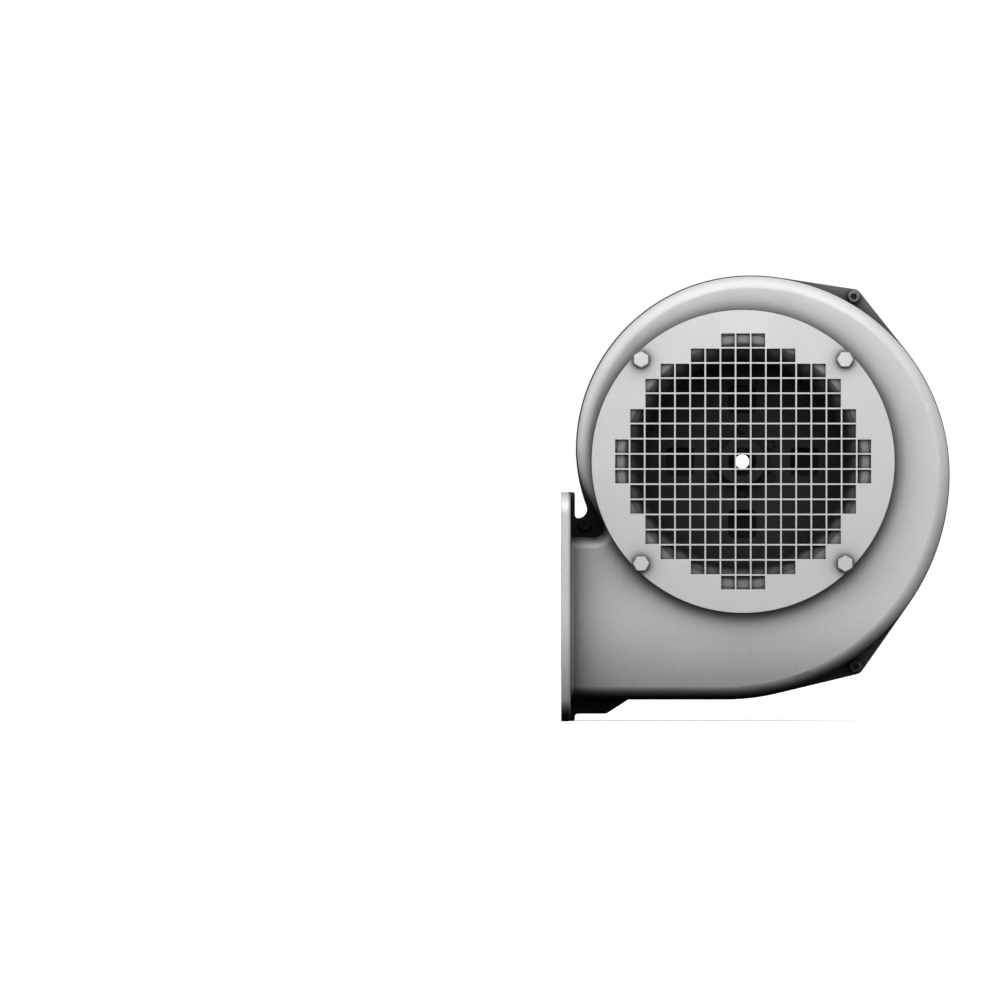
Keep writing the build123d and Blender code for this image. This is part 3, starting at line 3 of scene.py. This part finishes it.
import bpy
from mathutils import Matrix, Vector


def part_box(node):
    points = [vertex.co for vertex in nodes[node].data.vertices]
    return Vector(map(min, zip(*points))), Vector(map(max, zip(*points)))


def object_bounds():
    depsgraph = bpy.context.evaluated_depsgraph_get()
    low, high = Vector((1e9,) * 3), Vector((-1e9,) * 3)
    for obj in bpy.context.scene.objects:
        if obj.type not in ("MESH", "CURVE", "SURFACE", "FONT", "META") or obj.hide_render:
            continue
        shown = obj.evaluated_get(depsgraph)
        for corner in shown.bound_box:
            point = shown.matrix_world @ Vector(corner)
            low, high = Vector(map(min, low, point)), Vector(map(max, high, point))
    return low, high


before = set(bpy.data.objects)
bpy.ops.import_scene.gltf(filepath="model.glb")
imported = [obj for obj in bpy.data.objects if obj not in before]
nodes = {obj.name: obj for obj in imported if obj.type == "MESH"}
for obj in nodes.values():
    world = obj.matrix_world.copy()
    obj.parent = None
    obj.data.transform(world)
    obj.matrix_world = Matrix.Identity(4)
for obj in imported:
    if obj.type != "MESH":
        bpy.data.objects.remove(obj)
cad_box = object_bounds()

# ---------------------------------------------------------------- sizes taken from the frame, metres

guard_low, guard_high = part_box("inlet_guard")
case_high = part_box("front_casing")[1]
SHAFT_X = (guard_low.x + guard_high.x) / 2
SHAFT_Z = (guard_low.z + guard_high.z) / 2
GUARD_D = guard_high.x - guard_low.x
FLOOR_Z = cad_box[0].z

# Camera: level and square to the guard, with the shaft up and to the right of the view's centre
VIEW_WIDTH = 3.285 * GUARD_D
VIEW_LEFT = 0.8126 * GUARD_D
VIEW_DOWN = 0.1173 * GUARD_D
VIEW_DISTANCE = 26.0
SENSOR = 36.0
CLIP_NEAR = 1.0
CLIP_FAR = 100.0

# ---------------------------------------------------------------- constants of the finishes

# Detail of the fine grain and of the broad patches
FINE_DETAIL = 2.0
BROAD_DETAIL = 3.0
# Rays that each rounded edge and each sheltered point sends out
EDGE_RAYS = 4
SHELTER_RAYS = 8
# Most of the noise lies between these two values
NOISE_LOW = 0.3
NOISE_HIGH = 0.7
# Patch noise at the least and at the most rubbed or edge-shaded edges, and the least rub or painted edge
# shade
RUB_OR_SHADE_LOW = 0.35
RUB_OR_SHADE_HIGH = 0.6
LEAST_RUB_OR_SHADE = 0.3
# Openness of a corner so tight that it counts as closed
CLOSED = 0.05
# Painted shade beside near walls: openness beside a wall, the openness clear of it, and how dark the painted
# shade gets
CONTACT_SHADE = (0.1, 0.9, 0.25, 1.0)
# Agreement of true and rounded normals: on the flat, and on a sharp edge
FLAT = 0.995
SHARP = 0.85
# Parts of the colour left in dark patches and in the painted shade of the deepest corners
PATCH_SHADE = 0.3
DEEPEST_CORNER_SHADE = 0.01
# Half the range of roughness over one surface
UNEVEN_ROUGHNESS = 0.05


# ---------------------------------------------------------------- node helpers

class Graph:
    """A node tree, with short calls for the nodes that every finish here uses."""

    def __init__(self, name):
        self.material = bpy.data.materials.new(name)
        self.material.use_nodes = True
        self.tree = self.material.node_tree
        self.shader = self.tree.nodes["Principled BSDF"]
        self.place = self.add("ShaderNodeTexCoord").outputs["Object"]

    def add(self, kind, **settings):
        node = self.tree.nodes.new(kind)
        for key, value in settings.items():
            setattr(node, key, value)
        return node

    def join(self, source, target):
        self.tree.links.new(source, target)

    def put(self, socket, value):
        """Link a socket, or set it when the value is a plain number or colour."""
        if isinstance(value, bpy.types.NodeSocket):
            self.join(value, socket)
        else:
            socket.default_value = value

    def noise(self, size, detail, stretch=(1, 1, 1)):
        """Noise between 0 and 1 with features about `size` metres across."""
        mapping = self.add("ShaderNodeMapping")
        mapping.inputs["Scale"].default_value = [axis / size for axis in stretch]
        self.join(self.place, mapping.inputs["Vector"])
        texture = self.add("ShaderNodeTexNoise")
        texture.inputs["Scale"].default_value = 1.0
        texture.inputs["Detail"].default_value = detail
        self.join(mapping.outputs["Vector"], texture.inputs["Vector"])
        return texture.outputs["Fac"]

    def math(self, operation, first, second):
        node = self.add("ShaderNodeMath", operation=operation)
        self.put(node.inputs[0], first)
        self.put(node.inputs[1], second)
        return node.outputs[0]

    def spread(self, value, low, high, out_low=0.0, out_high=1.0):
        """Stretch a value from one range to another, clamped."""
        node = self.add("ShaderNodeMapRange")
        limits = {"From Min": low, "From Max": high, "To Min": out_low, "To Max": out_high}
        for name, number in limits.items():
            node.inputs[name].default_value = number
        self.join(value, node.inputs["Value"])
        return node.outputs["Result"]

    def mix(self, factor, first, second):
        """Mix two colours."""
        node = self.add("ShaderNodeMix", data_type="RGBA")
        self.put(node.inputs["Factor"], factor)
        colours = [socket for socket in node.inputs if socket.type == "RGBA"]
        self.put(colours[0], first)
        self.put(colours[1], second)
        return [socket for socket in node.outputs if socket.type == "RGBA"][0]

    def soft_normal(self, radius):
        """Surface normal rounded over sharp edges."""
        bevel = self.add("ShaderNodeBevel", samples=EDGE_RAYS)
        bevel.inputs["Radius"].default_value = radius
        return bevel.outputs["Normal"]

    def edges(self, normal):
        """About 1 on sharp edges and 0 elsewhere."""
        true_normal = self.add("ShaderNodeNewGeometry").outputs["Normal"]
        dot = self.add("ShaderNodeVectorMath", operation="DOT_PRODUCT")
        self.join(normal, dot.inputs[0])
        self.join(true_normal, dot.inputs[1])
        return self.spread(dot.outputs["Value"], FLAT, SHARP)

    def shelter(self, reach):
        """1 in the open, falling to 0 deep in corners."""
        node = self.add("ShaderNodeAmbientOcclusion", samples=SHELTER_RAYS)
        node.inputs["Distance"].default_value = reach
        return node.outputs["AO"]

    def off_axis(self):
        """Distance from the shaft's axis."""
        flat = self.add("ShaderNodeVectorMath", operation="MULTIPLY")
        self.join(self.place, flat.inputs[0])
        flat.inputs[1].default_value = (1, 0, 1)
        away = self.add("ShaderNodeVectorMath", operation="DISTANCE")
        self.join(flat.outputs["Vector"], away.inputs[0])
        away.inputs[1].default_value = (SHAFT_X, 0, SHAFT_Z)
        return away.outputs["Value"]

    def joint_shade(self):
        """Painted shade factor: below 1 on both sides of the casing's joint, and 1 elsewhere and on the
        outlet flange.
        """
        split = self.add("ShaderNodeSeparateXYZ")
        self.join(self.place, split.inputs[0])
        away = self.math("ABSOLUTE", self.math("SUBTRACT", split.outputs["Y"], case_high.y), 0.0)
        band = self.spread(away, *JOINT_SHADE)
        return self.math("MAXIMUM", band, self.spread(split.outputs["X"], *FLANGE_END))

    def bump(self, height, depth, normal):
        node = self.add("ShaderNodeBump")
        node.inputs["Strength"].default_value = 1.0
        node.inputs["Distance"].default_value = depth
        self.join(height, node.inputs["Height"])
        self.join(normal, node.inputs["Normal"])
        return node.outputs["Normal"]


def tint(colour, factor=1.0):
    """Grey level or colour as four channels, made lighter or darker."""
    channels = (colour,) * 3 if isinstance(colour, (int, float)) else colour
    return [min(1.0, channel * factor) for channel in channels] + [1.0]


def finish(name, colour, roughness, metallic=0.0, grain=0.0006, depth=0.00002, mottle=0.04,
           patch=0.012, cloud=0.04, edge=0.0004, worn_or_shaded_rim=None, wear_or_rim_shade=0.5, corner_shade=1.0, reach=0.03,
           throat=(), shade_at_joint=False, contact=0.0, gloss=0.5, coat=0.0, stretch=(1, 1, 1)):
    """A surface finish: fine grain, soft patches, rubbed edges or painted edge shade, and painted shade in
    corners.

    `grain`, `patch`, `edge`, `reach` and `contact` are lengths in metres: of the grain, the patches,
    the rounding of edges, and how near a wall is to bring the painted shade in corners or the painted
    contact shade beside it.
    `throat` holds rings of painted shade about the shaft's axis: two radii, and the shade at each.
    """
    graph = Graph(name)
    fine = graph.noise(grain, FINE_DETAIL, stretch)
    broad = graph.noise(patch, BROAD_DETAIL, stretch)
    normal = graph.soft_normal(edge)
    fleck = graph.spread(fine, NOISE_LOW, NOISE_HIGH)
    specks = graph.mix(fleck, tint(colour, 1 - mottle), tint(colour, 1 + mottle))
    cloudy = graph.spread(broad, NOISE_LOW, NOISE_HIGH, 0.0, cloud)
    shade = graph.mix(cloudy, specks, tint(colour, PATCH_SHADE))
    # Rubbed edges take a lighter tone; a dark tone here is painted shade along the edges
    if worn_or_shaded_rim is not None:
        sharp = graph.edges(normal)
        strength = graph.spread(broad, RUB_OR_SHADE_LOW, RUB_OR_SHADE_HIGH, LEAST_RUB_OR_SHADE * wear_or_rim_shade, wear_or_rim_shade)
        rub_or_rim_shade = graph.math("MULTIPLY", sharp, strength)
        shade = graph.mix(rub_or_rim_shade, shade, tint(worn_or_shaded_rim))
    # Painted shade: the colour darkens in corners and recesses, in rings about the shaft's axis, beside the
    # joint and beside near walls
    if corner_shade > 0:
        unshaded = graph.math("POWER", graph.spread(graph.shelter(reach), CLOSED, 1.0), corner_shade)
        # Painted shade in rings about the shaft's axis
        for band in throat:
            unshaded = graph.math("MULTIPLY", unshaded, graph.spread(graph.off_axis(), *band))
        # Painted shade beside the casing's joint
        if shade_at_joint:
            unshaded = graph.math("MULTIPLY", unshaded, graph.joint_shade())
        # Painted contact shade beside near walls
        if contact > 0:
            contact_shade = graph.spread(graph.shelter(contact), *CONTACT_SHADE)
            unshaded = graph.math("MULTIPLY", unshaded, contact_shade)
        shade = graph.mix(unshaded, tint(colour, DEEPEST_CORNER_SHADE), shade)
    graph.join(shade, graph.shader.inputs["Base Color"])
    smooth = roughness - UNEVEN_ROUGHNESS
    rough = roughness + UNEVEN_ROUGHNESS
    dull = graph.spread(broad, NOISE_LOW, NOISE_HIGH, smooth, rough)
    graph.join(dull, graph.shader.inputs["Roughness"])
    graph.shader.inputs["Specular IOR Level"].default_value = gloss
    graph.shader.inputs["Metallic"].default_value = metallic
    graph.shader.inputs["Coat Weight"].default_value = coat
    graph.join(graph.bump(fine, depth, normal), graph.shader.inputs["Normal"])
    return graph.material


def dress(material, *names):
    """Give CAD nodes a finish."""
    for name in names:
        data = nodes[name].data
        data.materials.clear()
        data.materials.append(material)


# ---------------------------------------------------------------- finishes

# Painted shade beside the casing's joint: distances from the joint, and the shade at each
JOINT_SHADE = (0.009, 0.016, 0.52, 1.0)
# The painted joint shade stops at the outlet flange: distances from its face, and how far it counts as
# flange
FLANGE_END = (0.01, 0.013, 1.0, 0.0)
# Rings of painted shade about the shaft's axis: two radii, and the shade at each
CASING_THROAT = ((0.066, 0.07, 0.012, 1.0),)
NOZZLE_THROAT = ((0.0815, 0.0835, 0.3, 1.0), (0.0865, 0.093, 1.0, 0.5), (0.095, 0.102, 1.0, 2.0))
HUB_THROAT = ((0.0093, 0.0103, 0.0, 1.0),)
SHIELD_THROAT = ((0.058, 0.064, 0.1, 1.0),)

# Castings, guard and screws outside
dress(finish("cast_aluminium", 0.57, 0.5, metallic=0.5, grain=0.0009, mottle=0.04, cloud=0.03, patch=0.03,
             worn_or_shaded_rim=0.62, wear_or_rim_shade=0.3, corner_shade=1.9, reach=0.08, contact=0.012, gloss=0.15,
             throat=CASING_THROAT, shade_at_joint=True),
      "front_casing", "rear_casing")
dress(finish("guard_coat", 0.54, 0.5, metallic=0.5, grain=0.001, mottle=0.07, cloud=0.02, patch=0.03,
             worn_or_shaded_rim=0.6, wear_or_rim_shade=0.3, corner_shade=1.9, reach=0.08, contact=0.006, gloss=0.15),
      "inlet_guard")
# Painted shade: the nozzle's coat is darker than the guard's, with darker rings about the axis
dress(finish("nozzle_coat_shaded", 0.3, 0.5, metallic=0.5, corner_shade=1.1, reach=0.08, gloss=0.15,
             throat=NOZZLE_THROAT),
      "inlet_nozzle")
# The bolt heads' dark edges are painted shade
dress(finish("bright_zinc", 0.53, 0.42, metallic=0.5, grain=0.0004, depth=0.000006, mottle=0.03, edge=0.001,
             worn_or_shaded_rim=0.1, wear_or_rim_shade=0.9, corner_shade=1.5, reach=0.02, gloss=0.2),
      "guard_bolts")
dress(finish("dull_zinc", 0.6, 0.42, metallic=0.6, grain=0.0004, depth=0.000006, worn_or_shaded_rim=0.75,
             corner_shade=1.5, reach=0.02),
      "case_washers", "case_nuts", "shield_screws", "cowl_screws", "box_screws", "lid_screws")
# Painted shade: the guard washers are a darker copy of the zinc
dress(finish("washer_zinc_shaded", 0.3, 0.42, metallic=0.6, grain=0.0004, depth=0.000006, corner_shade=1.5, reach=0.02),
      "guard_washers")
# Painted shade: the case screws are a darker copy of the zinc
dress(finish("case_zinc_shaded", 0.25, 0.45, metallic=0.5, grain=0.0004, depth=0.000006, corner_shade=1.9, reach=0.08,
             contact=0.003, gloss=0.15),
      "case_screws")
dress(finish("black_oxide", 0.02, 0.5, grain=0.0004, depth=0.00001, mottle=0.1,
             corner_shade=2.5, reach=0.1, gloss=0.15),
      "motor_screws", "hub_set_screw")

# Impeller
dress(finish("impeller_black", 0.06, 0.6, mottle=0.1, corner_shade=0.8, reach=0.1, gloss=0.15),
      "impeller_back_disc", "impeller_front_ring", "impeller_blades", "hub_rivets")
# Painted shade: a copy of the impeller's black, darker inside the hub's bore
dress(finish("hub_black_shaded", 0.06, 0.6, mottle=0.1, corner_shade=0.8, reach=0.1, gloss=0.1,
             throat=HUB_THROAT),
      "impeller_hub")

# Shaft, bearings and electrical parts
dress(finish("ground_steel", 0.6, 0.3, metallic=1.0, grain=0.0003, depth=0.000004, stretch=(1, 0.1, 1),
             corner_shade=2.5, reach=0.1),
      "impeller_key")
dress(finish("shaft_steel", 0.95, 0.1, metallic=1.0, grain=0.0003, depth=0.0000005, mottle=0.02,
             cloud=0.01, corner_shade=0.0),
      "motor_shaft")
dress(finish("laminations", 0.25, 0.45, metallic=0.7, depth=0.00004, mottle=0.2, stretch=(0.1, 1, 0.1)),
      "rotor_core", "stator_core")
dress(finish("cage_aluminium", 0.7, 0.45, metallic=0.8, mottle=0.1), "rotor_cage")
dress(finish("bearing_steel", 0.75, 0.18, metallic=1.0, depth=0.000002, mottle=0.03),
      "bearing_outer_rings", "bearing_inner_rings", "drive_bearing_balls", "rear_bearing_balls")
dress(finish("cage_brass", (0.66, 0.47, 0.2), 0.35, metallic=1.0, mottle=0.1),
      "drive_bearing_cage", "rear_bearing_cage")
dress(finish("spring_steel", 0.3, 0.35, metallic=0.9, mottle=0.1), "preload_washer", "fan_circlip")
dress(finish("winding_varnish", (0.42, 0.16, 0.06), 0.25, grain=0.0012, depth=0.0002, mottle=0.3,
             stretch=(3, 0.2, 3), coat=0.6),
      "stator_windings")
dress(finish("board_plastic", (0.32, 0.12, 0.06), 0.4, mottle=0.15), "terminal_board")
dress(finish("terminal_brass", (0.75, 0.58, 0.28), 0.3, metallic=1.0, mottle=0.08),
      "terminal_studs", "terminal_links", "terminal_nuts", "earth_screw")
dress(finish("lead_sleeve", (0.5, 0.05, 0.04), 0.5, mottle=0.1), "lead_wires")

# Rubber, fibre and plastic
dress(finish("seal_rubber", 0.03, 0.7, mottle=0.2), "shaft_seal", "box_gasket", "lid_gasket", "gland_seal")
dress(finish("gasket_fibre", (0.10, 0.11, 0.10), 0.85, mottle=0.25), "casing_gasket", "motor_gasket")
dress(finish("fan_plastic", 0.045, 0.45, grain=0.001, mottle=0.1, worn_or_shaded_rim=0.08),
      "cooling_fan", "gland_body", "gland_nut", "gland_locknut")

# Painted motor
dress(finish("motor_paint", (0.25, 0.26, 0.27), 0.45, grain=0.0012, depth=0.00005, worn_or_shaded_rim=0.45, wear_or_rim_shade=0.4,
             corner_shade=1.2, reach=0.03, coat=0.15),
      "motor_housing", "rear_end_shield")
# Painted shade: a copy of the motor paint, darker inside a ring about the axis
dress(finish("shield_paint_shaded", (0.25, 0.26, 0.27), 0.45, grain=0.0012, depth=0.00005, worn_or_shaded_rim=0.45, wear_or_rim_shade=0.4,
             corner_shade=1.5, reach=0.05, gloss=0.2, throat=SHIELD_THROAT),
      "drive_end_shield")
dress(finish("cowl_paint", (0.24, 0.25, 0.26), 0.4, grain=0.0008, worn_or_shaded_rim=0.45, wear_or_rim_shade=0.4, coat=0.2), "fan_cowl")
dress(finish("box_paint", (0.25, 0.26, 0.27), 0.42, grain=0.0012, depth=0.00005, worn_or_shaded_rim=0.45, wear_or_rim_shade=0.4,
             coat=0.15),
      "terminal_box", "terminal_lid")
dress(finish("plate_aluminium", 0.75, 0.3, metallic=0.9, grain=0.0005, stretch=(1, 0.05, 1)),
      "rating_plate", "rating_rivets")


# ---------------------------------------------------------------- camera, light and floor

# Soft lights all round the fan: direction, cosine where the light fades out, strength
SOFT_LIGHTS = (
    ((0, -1, 0), 0.6, 0.97),
    ((0, -0.75, 0.65), 0.8, 1.55),
    ((-1, -0.2, 0.3), 0.5, 1.6),
    ((1, -0.2, 0.3), 0.5, 1.25),
    ((0, -0.1, 1), 0.5, 0.55),
    ((0, 1, 0.1), 0.6, 1.6),
)
# Patch of light straight in front: cosine at its rim, cosine where it is full, and its strength
WINDOW_EDGE = cos(radians(9))
WINDOW_FULL = cos(radians(7))
WINDOW_STRENGTH = 1.5
# Backdrop that only the camera sees
BACKDROP_STRENGTH = 1.05

# Area lights: name, offset from the guard's centre, size, watts
AREA_LIGHTS = (
    ("near_front", (0, -0.4, 0.2), (0.5, 0.3), 0.78),
    ("overhead", (0, 0, 0.6), (0.8, 0.6), 0.95),
)

# Floor: half width, colour seen, colour that lights the fan, roughness, and its own glow
FLOOR_HALF = 8.0
FLOOR_PALE = 0.92
FLOOR_DARK = 0.07
FLOOR_ROUGHNESS = 0.9
FLOOR_GLOW = 0.42


def add_camera():
    """Camera square to the inlet guard, far away behind a very long lens."""
    data = bpy.data.cameras.new("camera")
    data.sensor_width = SENSOR
    data.lens = SENSOR * VIEW_DISTANCE / VIEW_WIDTH
    data.clip_start = CLIP_NEAR
    data.clip_end = CLIP_FAR
    camera = bpy.data.objects.new("camera", data)
    camera.location = (SHAFT_X - VIEW_LEFT, guard_low.y / 2 - VIEW_DISTANCE, SHAFT_Z - VIEW_DOWN)
    camera.rotation_euler = (radians(90), 0, 0)
    bpy.context.scene.collection.objects.link(camera)
    bpy.context.scene.camera = camera


def add_area(name, offset, size, power):
    """Soft area light placed off the guard's centre and aimed at it."""
    data = bpy.data.lights.new(name, "AREA")
    data.shape = "RECTANGLE"
    data.size, data.size_y = size
    data.energy = power
    light = bpy.data.objects.new(name, data)
    light.location = Vector((SHAFT_X, guard_low.y, SHAFT_Z)) + Vector(offset)
    light.rotation_euler = (-Vector(offset)).to_track_quat("-Z", "Y").to_euler()
    bpy.context.scene.collection.objects.link(light)


def add_world():
    """Soft lights all round, against a backdrop that the camera sees as plain white."""
    world = bpy.data.worlds.new("studio")
    bpy.context.scene.world = world
    world.use_nodes = True
    tree = world.node_tree
    tree.nodes.clear()
    direction = tree.nodes.new("ShaderNodeTexCoord").outputs["Generated"]

    def toward(axis, low, high, strength):
        """`strength` towards an axis, fading out with the cosine of the angle to it."""
        dot = tree.nodes.new("ShaderNodeVectorMath")
        dot.operation = "DOT_PRODUCT"
        dot.inputs[1].default_value = Vector(axis).normalized()
        tree.links.new(direction, dot.inputs[0])
        fade = tree.nodes.new("ShaderNodeMapRange")
        fade.inputs["From Min"].default_value = low
        fade.inputs["From Max"].default_value = high
        fade.inputs["To Max"].default_value = strength
        tree.links.new(dot.outputs["Value"], fade.inputs["Value"])
        return fade.outputs["Result"]

    def combine(first, second):
        """Sum of two strengths."""
        node = tree.nodes.new("ShaderNodeMath")
        tree.links.new(first, node.inputs[0])
        tree.links.new(second, node.inputs[1])
        return node.outputs[0]

    total = toward((0, -1, 0), WINDOW_EDGE, WINDOW_FULL, WINDOW_STRENGTH)
    for axis, low, strength in SOFT_LIGHTS:
        total = combine(total, toward(axis, low, 1.0, strength))
    soft = tree.nodes.new("ShaderNodeBackground")
    tree.links.new(total, soft.inputs["Strength"])
    soft.inputs["Color"].default_value = (1, 1, 1, 1)
    white = tree.nodes.new("ShaderNodeBackground")
    white.inputs["Color"].default_value = (1, 1, 1, 1)
    white.inputs["Strength"].default_value = BACKDROP_STRENGTH
    shown = tree.nodes.new("ShaderNodeMixShader")
    tree.links.new(tree.nodes.new("ShaderNodeLightPath").outputs["Is Camera Ray"], shown.inputs["Fac"])
    tree.links.new(soft.outputs[0], shown.inputs[1])
    tree.links.new(white.outputs[0], shown.inputs[2])
    tree.links.new(shown.outputs[0], tree.nodes.new("ShaderNodeOutputWorld").inputs["Surface"])


def add_floor():
    """Pale floor under the flange's lowest edge; pale to the eye, but it throws little light back up."""
    mesh = bpy.data.meshes.new("floor")
    signs = ((-1, -1), (1, -1), (1, 1), (-1, 1))
    corners = [(x * FLOOR_HALF, y * FLOOR_HALF, FLOOR_Z) for x, y in signs]
    mesh.from_pydata(corners, [], [(0, 1, 2, 3)])
    floor = bpy.data.objects.new("floor", mesh)
    bpy.context.scene.collection.objects.link(floor)
    material = bpy.data.materials.new("floor")
    material.use_nodes = True
    tree = material.node_tree
    pale = tree.nodes["Principled BSDF"]
    pale.inputs["Base Color"].default_value = tint(FLOOR_PALE)
    pale.inputs["Roughness"].default_value = FLOOR_ROUGHNESS
    pale.inputs["Specular IOR Level"].default_value = 0.0
    pale.inputs["Emission Color"].default_value = (1, 1, 1, 1)
    pale.inputs["Emission Strength"].default_value = FLOOR_GLOW
    dark = tree.nodes.new("ShaderNodeBsdfDiffuse")
    dark.inputs["Color"].default_value = tint(FLOOR_DARK)
    mix = tree.nodes.new("ShaderNodeMixShader")
    tree.links.new(tree.nodes.new("ShaderNodeLightPath").outputs["Is Camera Ray"], mix.inputs["Fac"])
    tree.links.new(dark.outputs[0], mix.inputs[1])
    tree.links.new(pale.outputs[0], mix.inputs[2])
    tree.links.new(mix.outputs[0], tree.nodes["Material Output"].inputs["Surface"])
    mesh.materials.append(material)


bpy.context.scene.view_settings.view_transform = "Standard"
add_camera()
add_world()
add_floor()
for settings in AREA_LIGHTS:
    add_area(*settings)
